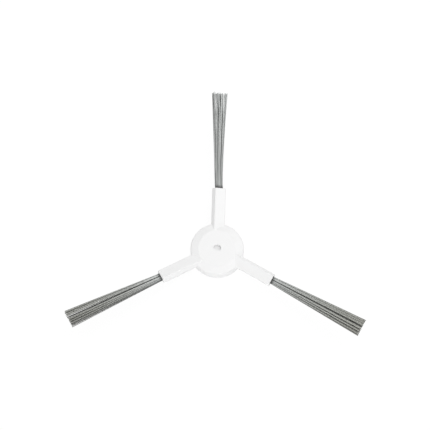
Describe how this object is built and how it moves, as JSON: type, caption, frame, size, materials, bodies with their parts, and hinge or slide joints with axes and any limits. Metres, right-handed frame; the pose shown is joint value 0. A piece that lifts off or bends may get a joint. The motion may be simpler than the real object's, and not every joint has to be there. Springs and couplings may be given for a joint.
{
  "type": "robot vacuum side brush",
  "caption": "Spinning side brush for a robot vacuum: a moulded hub with radial pitched arms that each hold a fanned bristle tuft, and a square drive socket underneath.",
  "frame": {"origin": "centre of the drive socket's mouth, in the plane of the rim that seats on the robot", "axes": "+Z along the spin axis, out of the visible face; +Y above the first arm"},
  "size_m": [0.1355, 0.1178, 0.0173],
  "materials": {
    "white_plastic": "satin moulded white plastic",
    "grey_bristle": "drawn grey nylon filament",
    "anchor_steel": "cut flat wire"
  },
  "bodies": {
    "root": {"hub_with_arms": "white_plastic", "bristle_tuft_1": "grey_bristle", "bristle_tuft_2": "grey_bristle", "bristle_tuft_3": "grey_bristle", "tuft_anchor_1": "anchor_steel", "tuft_anchor_2": "anchor_steel", "tuft_anchor_3": "anchor_steel"}
  },
  "joints": []
}
